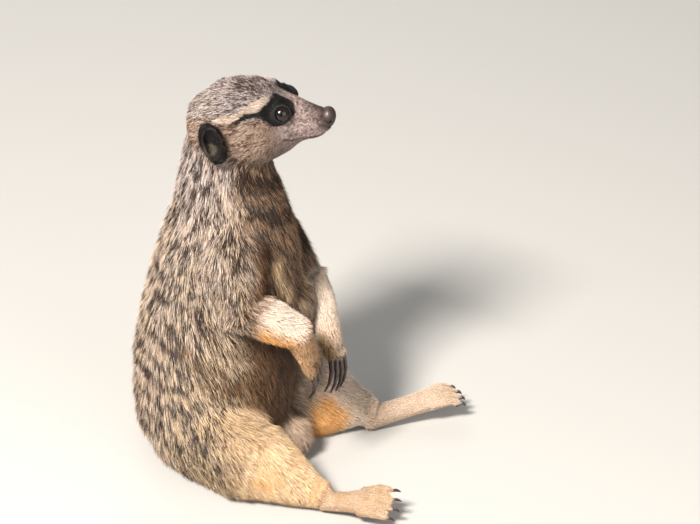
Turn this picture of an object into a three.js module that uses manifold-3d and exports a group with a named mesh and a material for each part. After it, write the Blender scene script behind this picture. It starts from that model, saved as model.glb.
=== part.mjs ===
// A life-size meerkat sitting upright on its rump, hind legs stretched out in front of it and
// forepaws hanging over its belly. Every solid has the outline of the coat, out to its tips.
// Millimetres. +X is the way the animal faces, +Y is its left, +Z is up. The origin is on the floor,
// within the flat that it sits on.
import * as THREE from "three";
import { mergeVertices } from "three/addons/utils/BufferGeometryUtils.js";
import Module from "manifold-3d";

const wasm = await Module();
wasm.setup();
const { Manifold, Mesh } = wasm;

// ---------------------------------------------------------------- driving sizes
const GAP = 0.3; // between neighbouring sub-parts
const EYE_RADIUS = 4.7;
const FLOOR_SIZE = 600; // of the block that trims the soles, rump and tail flat
const RIGHT = -1;
const LEFT = 1;

// Heights of the thin cuts through the trunk.
const NECK_BASE = 160;
const WAIST = 98;

// The head's own frame starts midway between the eyes.
const HEAD = { at: [48.2, 0, 214], yaw: 7 };

const v3 = (x, y, z) => new THREE.Vector3(x, y, z);
const between = (a, b, t) => v3(...a).lerp(v3(...b), t).toArray();
const tangentAt = (a, b) => v3(...b).sub(v3(...a)).normalize();
const radians = THREE.MathUtils.degToRad;

// ---------------------------------------------------------------- solids
// A closed mesh as a solid that can be joined and cut.
function solidOf(geometry) {
  const bare = geometry.index ? geometry.toNonIndexed() : geometry.clone();
  const points = new THREE.BufferGeometry().setAttribute("position", bare.getAttribute("position"));
  const merged = mergeVertices(points, 1e-4);
  return new Manifold(
    new Mesh({
      numProp: 3,
      vertProperties: merged.attributes.position.array,
      triVerts: new Uint32Array(merged.index.array),
    }),
  );
}

function geometryOf(solid) {
  const mesh = solid.getMesh();
  const geometry = new THREE.BufferGeometry();
  geometry.setAttribute("position", new THREE.BufferAttribute(mesh.vertProperties, 3));
  geometry.setIndex(new THREE.BufferAttribute(mesh.triVerts, 1));
  geometry.computeVertexNormals();
  return geometry;
}

const join = (...solids) => solids.reduce((sum, next) => sum.add(next));
const cutAway = (solid, ...cutters) => cutters.reduce((rest, cutter) => rest.subtract(cutter), solid);

// An ellipsoid, turned by its own matrix.
function ellipsoid(centre, radii, turn = [0, 0, 0], detail = 16) {
  const geometry = new THREE.SphereGeometry(1, detail, Math.round(detail * 0.7));
  const place = new THREE.Matrix4().compose(
    v3(...centre),
    new THREE.Quaternion().setFromEuler(new THREE.Euler(...turn.map(radians))),
    v3(...radii),
  );
  return solidOf(geometry.applyMatrix4(place));
}

// A block from the height low to the height high, wider than the whole animal.
function layer(low, high) {
  const geometry = new THREE.BoxGeometry(FLOOR_SIZE, FLOOR_SIZE, high - low);
  return solidOf(geometry.translate(0, 0, (low + high) / 2));
}

// The part of a solid in front of a plane, less half of the gap. The plane passes through a point.
function beyond(solid, point, normal) {
  const geometry = new THREE.BoxGeometry(FLOOR_SIZE, FLOOR_SIZE, FLOOR_SIZE);
  geometry.translate(0, 0, FLOOR_SIZE / 2 + GAP / 2);
  const turn = new THREE.Quaternion().setFromUnitVectors(v3(0, 0, 1), normal.clone().normalize());
  geometry.applyMatrix4(new THREE.Matrix4().makeRotationFromQuaternion(turn));
  geometry.translate(point.x, point.y, point.z);
  return solid.intersect(solidOf(geometry));
}

// Cuts a limb across its run at each of some points and returns its lengths, in order.
function lengths(solid, cuts) {
  const made = [];
  let rest = solid;
  for (const { point, along } of cuts) {
    made.push(beyond(rest, point, along.clone().negate()));
    rest = beyond(rest, point, along);
  }
  return [...made, rest];
}

// A skinned tube through stations. Each station has the place of the tube's line, its half-width
// along side, and its reach up and down across that. Both ends are closed by domes.
function loft(stations, { side, around = 20, grow = 0, dome = [1, 1], domeRings = [2, 2] }) {
  const line = new THREE.CatmullRomCurve3(stations.map((s) => v3(...s.at)), false, "catmullrom", 0.5);
  const spans = stations.length - 1;
  const sideways = v3(...side);
  const rings = [];

  const addRing = (centre, tangent, size, scale) => {
    const across = sideways.clone().addScaledVector(tangent, -sideways.dot(tangent)).normalize();
    const upwards = new THREE.Vector3().crossVectors(across, tangent);
    const ring = [];
    for (let i = 0; i < around; i++) {
      const angle = (2 * Math.PI * i) / around;
      const rise = Math.sin(angle) > 0 ? size.up : (size.down ?? size.up);
      ring.push(
        centre
          .clone()
          .addScaledVector(across, (size.half + grow) * scale * Math.cos(angle))
          .addScaledVector(upwards, (rise + grow) * scale * Math.sin(angle)),
      );
    }
    rings.push(ring);
  };

  const addDome = (t, way, length, ringCount) => {
    const centre = line.getPoint(t);
    const tangent = line.getTangent(t);
    const size = stations[t * spans];
    const depth = length * Math.min(size.half, (size.up + (size.down ?? size.up)) / 2) + grow;
    const steps = [...Array(ringCount).keys()].map((k) => ((k + 1) / (ringCount + 1)) * (Math.PI / 2));
    for (const step of way < 0 ? steps.reverse() : steps) {
      const shifted = centre.clone().addScaledVector(tangent, way * depth * Math.sin(step));
      addRing(shifted, tangent, size, Math.cos(step));
    }
    return centre.addScaledVector(tangent, way * depth);
  };

  const firstPole = addDome(0, -1, dome[0], domeRings[0]);
  stations.forEach((s, k) => addRing(v3(...s.at), line.getTangent(k / spans), s, 1));
  const lastPole = addDome(1, 1, dome[1], domeRings[1]);

  const points = [...rings.flat(), firstPole, lastPole];
  const faces = [];
  const last = rings.length - 1;
  for (let i = 0; i < around; i++) {
    const next = (i + 1) % around;
    faces.push(points.length - 2, i, next);
    faces.push(points.length - 1, last * around + next, last * around + i);
    for (let r = 0; r < last; r++) {
      const a = r * around;
      const b = a + around;
      faces.push(a + i, b + i, a + next);
      faces.push(a + next, b + i, b + next);
    }
  }
  const geometry = new THREE.BufferGeometry().setFromPoints(points);
  geometry.setIndex(faces);
  return solidOf(geometry);
}

// ---------------------------------------------------------------- trunk and neck
// The trunk stands nearly upright. Each level gives its height, the place of its middle, how far
// the back and the belly reach from there, and its half-width.
const TRUNK_LEVELS = [
  { z: 5, x: 3, back: 32, belly: 28, half: 32.5 },
  { z: 20, x: 5, back: 41.5, belly: 38, half: 40 },
  { z: 42, x: 6, back: 43.5, belly: 42, half: 41.5 },
  { z: 66, x: 8, back: 44, belly: 43, half: 40.5 },
  { z: 92, x: 10, back: 41, belly: 44, half: 38 },
  { z: 116, x: 12, back: 36.5, belly: 42, half: 35 },
  { z: 138, x: 14, back: 32, belly: 38, half: 32 },
  { z: 157, x: 14, back: 26.5, belly: 33, half: 27.5 },
  { z: 175, x: 14, back: 22.5, belly: 26.2, half: 24 },
  { z: 192, x: 16, back: 21, belly: 25, half: 22 },
];

function trunkShape() {
  const stations = TRUNK_LEVELS.map((l) => ({ at: [l.x, 0, l.z], half: l.half, up: l.belly, down: l.back }));
  const barrel = loft(stations, { side: [0, 1, 0], around: 24, dome: [0.36, 0.6], domeRings: [2, 1] });
  const groin = ellipsoid([45, 1, 15], [14, 12, 14], [0, 20, 0], 10);
  return join(barrel, groin);
}

// ---------------------------------------------------------------- head
// Along the head from the back of the skull to the nose: the height of the top line and the jaw
// line, the height at which the head is widest, and its half-width there.
const HEAD_SECTIONS = [
  { x: -43.5, top: 2, jaw: -29, widest: -13, half: 16 },
  { x: -36, top: 8.2, jaw: -33, widest: -12.5, half: 21 },
  { x: -27, top: 11.4, jaw: -34.5, widest: -12, half: 23.7 },
  { x: -16, top: 12, jaw: -33, widest: -12, half: 23.3 },
  { x: -7, top: 10.4, jaw: -30, widest: -11.5, half: 20.3 },
  { x: 0, top: 6.8, jaw: -26, widest: -10, half: 14.5 },
  { x: 6, top: 4.2, jaw: -21.5, widest: -9.5, half: 10 },
  { x: 12, top: 2.2, jaw: -18, widest: -9, half: 7.4 },
  { x: 17, top: 0.4, jaw: -14.5, widest: -7.5, half: 6 },
  { x: 20, top: -0.9, jaw: -11.5, widest: -6.5, half: 5 },
];
const EYE_AT = { x: -1.3, y: 11, z: -0.6 };
const NOSE = { at: [21.8, 0, -5], radii: [3, 3.9, 4] };
const EAR = { at: [-34, 23.5, -13.6], radii: [7.2, 4.6, 12.6], turn: [-8, -14, 16], wall: 1.6 };

// From the head's own frame to the body's.
function inHead(solid) {
  const place = new THREE.Matrix4().makeRotationZ(radians(HEAD.yaw)).setPosition(...HEAD.at);
  return solid.transform(place.elements);
}

const mirrored = (side, [x, y, z]) => [x, side * y, z];

function skullShape(grow = 0) {
  const stations = HEAD_SECTIONS.map((s) => ({
    at: [s.x, 0, s.widest],
    half: s.half,
    up: s.top - s.widest,
    down: s.widest - s.jaw,
  }));
  const skull = loft(stations, { side: [0, -1, 0], around: 24, dome: [0.55, 0.75], domeRings: [2, 1], grow });
  const forms = [];
  for (const side of [RIGHT, LEFT]) {
    const bulge = (at, radii, turn) =>
      ellipsoid(mirrored(side, at), radii.map((r) => r + grow), [turn[0] * side, turn[1], turn[2] * side], 9);
    forms.push(bulge([-8, 9, 4], [9.5, 6, 5], [0, 6, -24])); // brow
    forms.push(bulge([13, 3.2, -9.2], [7.6, 4.2, 5.4], [0, 14, -14])); // whisker pad
  }
  return join(skull, ...forms);
}

const eyeShape = (side, r) => ellipsoid([EYE_AT.x, side * EYE_AT.y, EYE_AT.z], [r, r, r], [90, 0, 0], 10);
const noseShape = (grow = 0) => ellipsoid(NOSE.at, NOSE.radii.map((r) => r + grow), [0, 12, 0], 10);

// A shallow cup that opens outwards and forwards, standing off the side of the head.
function earBlank(side, grow = 0) {
  const turn = [EAR.turn[0] * side, EAR.turn[1], EAR.turn[2] * side];
  return ellipsoid(mirrored(side, EAR.at), EAR.radii.map((r) => r + grow), turn, 11);
}

function earShape(side) {
  const opening = mirrored(side, [1.6, 3.2, 0]);
  return cutAway(earBlank(side), earBlank(side, -EAR.wall).translate(...opening));
}

// ---------------------------------------------------------------- limbs
// Four digits fan out from the knuckles of a paw, and a claw stands off the tip of each.
function digits({ from, knuckles, back, spread, length, radius, fan, claw }) {
  const forward = v3(...knuckles).sub(v3(...from)).normalize();
  const upward = v3(...back).addScaledVector(forward, -v3(...back).dot(forward)).normalize();
  const across = new THREE.Vector3().crossVectors(forward, upward);
  const toes = [];
  const claws = [];
  for (let i = 0; i < 4; i++) {
    const offset = i - 1.5;
    const run = length * (Math.abs(offset) < 1 ? 1 : 0.86);
    const root = v3(...knuckles).addScaledVector(across, offset * spread);
    const way = forward.clone().applyAxisAngle(upward, -radians(offset * fan));
    const bendAxis = new THREE.Vector3().crossVectors(upward, way).normalize();
    const bent = way.clone().applyAxisAngle(bendAxis, radians(claw.drop));
    const start = root.clone().addScaledVector(way, -length * 0.5);
    const middle = root.clone().addScaledVector(way, run * 0.5).addScaledVector(upward, radius * 0.25);
    const tip = middle.clone().addScaledVector(bent, run * 0.5);
    const sizes = [1, 1, 0.85].map((k) => radius * k);
    const stations = [start, middle, tip].map((p, k) => ({ at: p.toArray(), half: sizes[k], up: sizes[k] }));
    toes.push(loft(stations, { side: bendAxis.toArray(), around: 6, domeRings: [0, 1] }));
    const base = tip.clone().addScaledVector(bent, sizes[2] + GAP + claw.radius * 0.3);
    claws.push(clawShape(base, bent, bendAxis, claw));
  }
  return { toes, claws };
}

// A tapering hook that curls towards the palm or the sole.
function clawShape(base, way, bendAxis, claw) {
  const steps = 3;
  const stations = [];
  const place = base.clone();
  const heading = way.clone();
  for (let k = 0; k <= steps; k++) {
    const thick = claw.radius * (1 - 0.75 * (k / steps) ** 1.3);
    stations.push({ at: place.toArray(), half: thick * 0.75, up: thick });
    heading.applyAxisAngle(bendAxis, radians(claw.curl / steps));
    place.addScaledVector(heading, claw.length / steps);
  }
  return loft(stations, { side: bendAxis.toArray(), around: 6, domeRings: [0, 0], dome: [0.3, 2] });
}

const HAND_CLAW = { length: 17, radius: 1.5, drop: -10, curl: 52 };
const FOOT_CLAW = { length: 3.4, radius: 1.1, drop: 24, curl: 40 };

// Shoulder, elbow, wrist and knuckles of each forelimb, and the way that the back of its paw faces.
// Each size is a half-width and a reach across it.
const ARMS = {
  right: {
    shoulder: [26, -25, 142],
    elbow: [34, -37, 112],
    wrist: [60, -26, 95.5],
    knuckles: [63.6, -20.5, 79.5],
    back: [0.82, -0.05, 0.3],
    side: [0.25, -0.9, -0.35],
    sizes: { elbow: [10, 10.6], middle: [9.4, 10.2], wrist: [8, 8.4], palm: [7.2, 6.4], knuckles: [7, 4.8] },
  },
  left: {
    shoulder: [23, 26, 139],
    elbow: [48, 32, 96],
    wrist: [65.3, 11.5, 79],
    knuckles: [68.2, 8, 71.5],
    back: [0.9, -0.15, 0.25],
    side: [0.3, 0.9, 0.3],
    sizes: { elbow: [9.4, 9.8], middle: [9.8, 9], wrist: [6.4, 6.2], palm: [6.8, 5.4], knuckles: [7, 4.6] },
  },
};

// The upper arm, then the forearm with the palm, each a length of its own that ends in the elbow.
function armShape(arm, grow = 0) {
  const { shoulder, elbow, wrist, knuckles, sizes } = arm;
  const station = (at, [half, up]) => ({ at, half, up });
  const upper = [
    { at: shoulder, half: 13, up: 16 },
    { at: between(shoulder, elbow, 0.5), half: 12.5, up: 14.5 },
    { at: elbow, half: 9.5, up: 10.5 },
  ];
  const lower = [
    station(elbow, sizes.elbow),
    station(between(elbow, wrist, 0.5), sizes.middle),
    station(wrist, sizes.wrist),
    station(between(wrist, knuckles, 0.6), sizes.palm),
    station(knuckles, sizes.knuckles),
  ];
  const lengthOf = (stations) => loft(stations, { side: arm.side, around: 12, domeRings: [1, 1], grow });
  return join(lengthOf(upper), lengthOf(lower));
}

// Hip, knee, ankle, heel and ball of each hind limb, and the way that the top of the foot faces.
// Five sizes of the leg, from the hip to the ankle, give its half-width and its reach up and down,
// with the long hair that hangs to the floor under the knee. The foot has three, of half-width and
// reach.
const LEGS = {
  right: {
    hip: [4, -24, 29],
    knee: [37, -39, 30],
    ankle: [76, -42.5, 10.5],
    heel: [78, -43, 5.2],
    ball: [104, -46, 11.5],
    back: [-0.25, -0.5, 0.85],
    side: [0.3, -0.95, 0.1],
    sizes: [[21, 28, 28], [19, 24, 30], [16.5, 19, 30], [12.5, 14, 20.5], [6.8, 7.6, 10.5]],
    foot: [[5.4, 5.4], [6, 5], [8.4, 4.8]],
  },
  left: {
    hip: [4, 24, 27],
    knee: [46, 36.5, 20],
    ankle: [79, 38, 12],
    heel: [81, 38.5, 6.7],
    ball: [113.5, 59, 13],
    back: [-0.3, -0.25, 0.9],
    side: [-0.1, -0.95, 0.2],
    sizes: [[21, 28, 28], [20, 30, 27], [21.5, 30, 27], [19, 20, 22], [8, 11, 9]],
    foot: [[6, 7], [6.2, 6.2], [8.2, 5.4]],
  },
};

function legShape(leg, grow = 0) {
  const { hip, knee, ankle, sizes } = leg;
  const places = [hip, between(hip, knee, 0.55), knee, between(knee, ankle, 0.45), ankle];
  const stations = sizes.map(([half, up, down], k) => ({ at: places[k], half, up, down }));
  return loft(stations, { side: leg.side, around: 16, domeRings: [1, 1], grow });
}

function footShape(leg) {
  const { heel, ball, back, foot } = leg;
  const across = new THREE.Vector3().crossVectors(tangentAt(heel, ball), v3(...back));
  const places = [heel, between(heel, ball, 0.5), ball];
  const stations = foot.map(([half, up], k) => ({ at: places[k], half, up }));
  return loft(stations, { side: across.toArray(), around: 10, domeRings: [1, 1] });
}

// ---------------------------------------------------------------- tail
const TAIL_LINE = [
  { at: [-22, 2, 12], r: 12.5 },
  { at: [-34, 22, 9.5], r: 10.2 },
  { at: [-38, 48, 7.8], r: 8.6 },
  { at: [-35, 76, 6.8], r: 7.6 },
  { at: [-23, 102, 6], r: 6.8 },
  { at: [-2, 120, 5.2], r: 6 },
  { at: [24, 130, 4.4], r: 5 },
];

function tailShape(grow = 0) {
  const stations = TAIL_LINE.map(({ at, r }) => ({ at, half: r, up: r }));
  return loft(stations, { side: [0, 0, 1], around: 10, dome: [0.5, 1.8], domeRings: [1, 2], grow });
}

// ---------------------------------------------------------------- the whole animal
const COLOURS = {
  grizzled: [0x9c8a74, 0.95],
  cream: [0xdcc9a4, 0.95],
  dark: [0x2a211c, 0.9],
  nose: [0x3a2c28, 0.55],
  eye: [0x120c0a, 0.08],
  claw: [0x2e2420, 0.4],
};

const animal = new THREE.Group();
animal.name = "meerkat";

function addNode(name, solid, colour) {
  const [color, roughness] = COLOURS[colour];
  const material = new THREE.MeshStandardMaterial({ color, roughness, metalness: 0 });
  const mesh = new THREE.Mesh(geometryOf(solid), material);
  mesh.name = name;
  animal.add(mesh);
}

const underFloor = layer(-FLOOR_SIZE, 0);
const onFloor = (solid) => cutAway(solid, underFloor);

// Forelimbs in three lengths.
const limbCutters = [];
for (const [name, arm] of Object.entries(ARMS)) {
  const fingers = digits({
    from: arm.wrist,
    knuckles: arm.knuckles,
    back: arm.back,
    spread: 3.9,
    length: 8.5,
    radius: 2.6,
    fan: 4,
    claw: HAND_CLAW,
  });
  const whole = join(armShape(arm), ...fingers.toes);
  const cuts = [
    { point: v3(...arm.elbow), along: tangentAt(arm.shoulder, arm.wrist) },
    { point: v3(...arm.wrist), along: tangentAt(arm.elbow, arm.knuckles) },
  ];
  const [upper, fore, hand] = lengths(whole, cuts);
  addNode(`${name}_upper_arm`, upper, "grizzled");
  addNode(`${name}_forearm`, fore, "cream");
  addNode(`${name}_hand`, hand, "cream");
  fingers.claws.forEach((claw, i) => addNode(`${name}_hand_claw_${i + 1}`, claw, "claw"));
  limbCutters.push(armShape(arm, GAP));
}

// Hind limbs in three lengths.
for (const [name, leg] of Object.entries(LEGS)) {
  const toes = digits({
    from: leg.heel,
    knuckles: leg.ball,
    back: leg.back,
    spread: 4.4,
    length: 11,
    radius: 2.9,
    fan: 5,
    claw: FOOT_CLAW,
  });
  const whole = onFloor(join(legShape(leg), footShape(leg), ...toes.toes));
  const cuts = [
    { point: v3(...leg.knee).lerp(v3(...leg.ankle), 0.1), along: tangentAt(leg.hip, leg.ankle) },
    { point: v3(...leg.ankle), along: tangentAt(leg.knee, leg.ball) },
  ];
  const [thigh, shank, foot] = lengths(whole, cuts);
  addNode(`${name}_thigh`, thigh, "grizzled");
  addNode(`${name}_shank`, shank, "cream");
  addNode(`${name}_foot`, foot, "cream");
  toes.claws.forEach((claw, i) => addNode(`${name}_foot_claw_${i + 1}`, claw, "claw"));
  limbCutters.push(legShape(leg, GAP));
}

// Tail in three lengths.
const tail = onFloor(tailShape());
const tailCuts = [2, 4].map((i) => ({
  point: v3(...TAIL_LINE[i].at),
  along: tangentAt(TAIL_LINE[i - 1].at, TAIL_LINE[i + 1].at),
}));
const tailNames = ["tail_root", "tail_middle", "tail_tip"];
lengths(tail, tailCuts).forEach((solid, i) => addNode(tailNames[i], solid, i < 2 ? "grizzled" : "dark"));

// Head with its sockets for the eyes, the nose and the ears.
const eyeSockets = [RIGHT, LEFT].map((side) => eyeShape(side, EYE_RADIUS + GAP));
const head = inHead(cutAway(skullShape(), ...eyeSockets, noseShape(GAP)));
addNode("head", head, "grizzled");
addNode("nose", inHead(noseShape()), "nose");
for (const side of [RIGHT, LEFT]) {
  const name = side === RIGHT ? "right" : "left";
  addNode(`${name}_eye`, inHead(eyeShape(side, EYE_RADIUS)), "eye");
  addNode(`${name}_ear`, inHead(cutAway(earShape(side), skullShape(GAP))), "dark");
}

// Trunk, less the head, limbs and tail, in three lengths.
const headCutters = [skullShape(GAP), earBlank(RIGHT, GAP), earBlank(LEFT, GAP)].map(inHead);
const trunk = onFloor(cutAway(trunkShape(), ...headCutters, tailShape(GAP), ...limbCutters));
const up = v3(0, 0, 1);
const [belly, chest, neck] = lengths(trunk, [
  { point: v3(0, 0, WAIST), along: up },
  { point: v3(0, 0, NECK_BASE), along: up },
]);
addNode("belly", belly, "grizzled");
addNode("chest", chest, "grizzled");
addNode("neck", neck, "grizzled");

export default animal;
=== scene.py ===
"""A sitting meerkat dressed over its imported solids: one skin, eyes, nose, claws and a coat of tufts."""

import math

import bmesh
import bpy
import numpy as np
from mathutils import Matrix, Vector
from mathutils.kdtree import KDTree


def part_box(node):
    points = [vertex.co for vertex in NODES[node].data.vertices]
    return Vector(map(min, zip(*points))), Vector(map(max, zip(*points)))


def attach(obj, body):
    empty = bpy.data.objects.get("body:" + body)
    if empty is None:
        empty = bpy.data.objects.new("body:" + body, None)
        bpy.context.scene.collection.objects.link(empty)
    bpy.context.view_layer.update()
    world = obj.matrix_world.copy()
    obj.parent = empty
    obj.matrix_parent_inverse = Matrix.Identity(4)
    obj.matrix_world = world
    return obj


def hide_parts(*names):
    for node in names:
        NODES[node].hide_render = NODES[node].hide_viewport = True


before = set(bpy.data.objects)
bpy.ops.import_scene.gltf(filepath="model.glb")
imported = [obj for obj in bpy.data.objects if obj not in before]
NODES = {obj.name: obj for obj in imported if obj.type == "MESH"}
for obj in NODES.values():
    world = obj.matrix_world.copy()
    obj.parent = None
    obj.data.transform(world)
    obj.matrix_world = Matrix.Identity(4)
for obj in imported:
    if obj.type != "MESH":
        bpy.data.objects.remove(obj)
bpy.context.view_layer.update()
MM = 0.001

# ---------------------------------------------------------------- places, in millimetres

HEAD_AT = np.array([48.2, 0.0, 214.0])
HEAD_YAW = math.radians(7)
HEAD_TURN = np.array([[math.cos(HEAD_YAW), -math.sin(HEAD_YAW), 0.0],
                      [math.sin(HEAD_YAW), math.cos(HEAD_YAW), 0.0],
                      [0.0, 0.0, 1.0]])
CAMERA_AT = (466.3, -1437.7, 985.6)
CAMERA_TARGET = (62.8, 68.0, 85.6)
CAMERA_LENS = 171.43

SKIN_TRIANGLES = 175000
PIECE_TRIANGLES = 185000  # the most that one coat piece holds
SKIN_VOXEL = 0.75
FILL_VOXEL = 1.6  # of the closing that fills the creases between the bulky solids
FILL_REACH = 6.0
LOWEST_TUFT = 0.12  # above the floor
ROOT_SINK = 0.35  # of a tuft's base below the skin
TUFTS_TO_A_LOCK = 6
UV_REACH = 0.0015  # half the width of a tuft's patch on the map

# The belly is let out between the arms, round this place and over these distances.
BULGE_AT, BULGE_RADII, BULGE = (50, 8, 92), (20, 20, 24), 5.5
# The trunk's axis: heights, and the axis's place in x at each.
AXIS_Z, AXIS_X = [5, 42, 92, 138, 175, 200], [3, 6, 10, 14, 14, 18]
NOSE_RADII = np.array([4.2, 4.7, 5.7])
NOSE_SHIFT, NOSE_LEAN = (1.3, 0, 1.5), math.radians(12)

# Each bone is the line that a region's hair lies along, from where it starts to where it ends.
BONES = {
    "neck": [(22, 0, 206), (16, 0, 165)],
    "chest": [(16, 0, 178), (12, 0, 100)],
    "belly": [(12, 0, 112), (3, 0, 8)],
    "right_upper_arm": [(26, -25, 142), (34, -37, 112)],
    "right_forearm": [(34, -37, 112), (60, -26, 95.5)],
    "right_hand": [(60, -26, 95.5), (63.6, -20.5, 79.5), (66, -17, 66)],
    "left_upper_arm": [(23, 26, 139), (48, 32, 96)],
    "left_forearm": [(48, 32, 96), (65.3, 11.5, 79)],
    "left_hand": [(65.3, 11.5, 79), (68.2, 8, 71.5), (71, 6, 58)],
    "right_thigh": [(4, -24, 29), (37, -39, 30)],
    "right_shank": [(37, -39, 30), (76, -42.5, 10.5)],
    "right_foot": [(76, -43, 8), (104, -46, 11.5), (122, -49, 13)],
    "left_thigh": [(4, 24, 27), (46, 36.5, 20)],
    "left_shank": [(46, 36.5, 20), (79, 38, 12)],
    "left_foot": [(79, 38.5, 9), (113.5, 59, 13), (128, 68, 14)],
    "tail_root": [(-14, -6, 12), (-22, 2, 12), (-34, 22, 9.5), (-38, 48, 7.8)],
    "tail_middle": [(-38, 48, 7.8), (-35, 76, 6.8), (-23, 102, 6)],
    "tail_tip": [(-23, 102, 6), (-2, 120, 5.2), (24, 130, 4.4), (40, 134, 4.4)],
}
FLESH = sorted([*BONES, "head", "left_ear", "right_ear"])
REGION = {name: i for i, name in enumerate(FLESH)}
BULK = ["belly", "chest", "neck", "right_upper_arm", "left_upper_arm", "right_thigh", "left_thigh"]

# How far the skin lies inside the solids, which reach to the tips of the coat. Below 0 it lies outside:
# the solids of the forearms and hands are thinner than the animal's.
DEPTH = {"belly": 2.4, "chest": 2.3, "neck": 1.9, "thigh": 2.3, "shank": 1.4, "foot": 0.5,
         "upper_arm": 2.0, "forearm": -0.7, "hand": -0.1, "tail_root": 1.8, "tail_middle": 1.5,
         "tail_tip": 1.2, "ear": 0.15, "head": 1.0}


def kind(name):
    """The region without its side."""
    return name.replace("left_", "").replace("right_", "")


def to_head(points):
    """Points of the row frame, in the head's own frame."""
    return (points - HEAD_AT) @ HEAD_TURN


def from_head(points):
    return np.asarray(points, float) @ HEAD_TURN.T + HEAD_AT


def step(low, high, x):
    t = np.clip((x - low) / (high - low), 0, 1)
    return t * t * (3 - 2 * t)


def unit(v):
    return v / np.maximum(np.linalg.norm(v, axis=-1, keepdims=True), 1e-9)


def colour(code):
    """A display colour such as "c8b59a" as linear light."""
    c = np.array([int(code[i:i + 2], 16) for i in (0, 2, 4)]) / 255.0
    return np.where(c <= 0.04045, c / 12.92, ((c + 0.055) / 1.055) ** 2.4)


def mix(a, b, t):
    t = np.asarray(t, float)
    return a + (b - a) * (t[:, None] if t.ndim else t)


def noise(points, scale, seed):
    """Smooth noise from 0 to 1 that has one cell in each scale millimetres."""
    q = points / scale + seed * 17.31
    i = np.floor(q).astype(np.int64)
    f = q - i
    f = f * f * (3 - 2 * f)
    total = np.zeros(len(points))
    for corner in range(8):
        o = np.array([corner & 1, (corner >> 1) & 1, corner >> 2])
        c = i + o
        h = c[:, 0] * 374761393 + c[:, 1] * 668265263 + c[:, 2] * 2147483647 + seed * 1013904223
        h = (h ^ (h >> 13)) * 1274126177
        value = ((h ^ (h >> 16)) & 0xFFFF) / 65535.0
        w = np.prod(np.where(o == 1, f, 1 - f), axis=1)
        total += w * value
    return total


def nearest_on(line, points):
    """For each point: its distance from the line, its way along it, the line's direction and foot."""
    line = np.asarray(line, float)
    lengths = np.linalg.norm(np.diff(line, axis=0), axis=1)
    starts = np.concatenate([[0], np.cumsum(lengths)])
    best = np.full(len(points), 1e9)
    along = np.zeros(len(points))
    way = np.zeros((len(points), 3))
    foot = np.zeros((len(points), 3))
    for k, length in enumerate(lengths):
        d = (line[k + 1] - line[k]) / length
        t = (points - line[k]) @ d
        low = -1e9 if k == 0 else 0
        high = 1e9 if k == len(lengths) - 1 else length
        outside = np.clip(t, low, high)
        inside = np.clip(t, 0, length)
        distance = np.linalg.norm(points - line[k] - inside[:, None] * d, axis=1)
        closer = distance < best
        best = np.where(closer, distance, best)
        along = np.where(closer, starts[k] + outside, along)
        way[closer] = d
        foot[closer] = (line[k] + outside[:, None] * d)[closer]
    return best, along, way, foot


def outline_distance(x, z, outline):
    """The distance from a closed outline in a plane, below 0 inside it."""
    a = np.asarray(outline, float)
    b = np.roll(a, -1, axis=0)
    best = np.full(len(x), 1e9)
    crossings = np.zeros(len(x), int)
    for (ax, az), (bx, bz) in zip(a, b):
        ex, ez = bx - ax, bz - az
        t = np.clip(((x - ax) * ex + (z - az) * ez) / (ex * ex + ez * ez), 0, 1)
        best = np.minimum(best, np.hypot(x - ax - t * ex, z - az - t * ez))
        if az != bz:
            crossings += ((az > z) != (bz > z)) & (x < ax + (z - az) / ez * ex)
    return np.where(crossings % 2 == 1, -best, best)


# ---------------------------------------------------------------- a surface of triangles

class Surface:
    """Points and triangles with the links between neighbours."""

    def __init__(self, points, triangles):
        self.p = points
        self.t = triangles
        n = len(points)
        e = np.concatenate([triangles[:, [0, 1]], triangles[:, [1, 2]], triangles[:, [2, 0]]])
        e.sort(axis=1)
        key = np.unique(e[:, 0].astype(np.int64) * n + e[:, 1])
        self.a = key // n
        self.b = key % n
        self.links = np.maximum(np.bincount(self.a, minlength=n) + np.bincount(self.b, minlength=n), 1)

    def mean(self, x):
        """Each point's average over its neighbours."""
        n = len(self.p)
        out = np.empty_like(x)
        for c in range(x.shape[1]):
            out[:, c] = (np.bincount(self.a, x[self.b, c], n) + np.bincount(self.b, x[self.a, c], n))
        return out / self.links[:, None]

    def normals(self):
        a, b, c = (self.p[self.t[:, k]] for k in range(3))
        face = np.cross(b - a, c - a)
        out = np.zeros_like(self.p)
        for k in range(3):
            for axis in range(3):
                out[:, axis] += np.bincount(self.t[:, k], face[:, axis], len(self.p))
        return unit(out)


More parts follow.
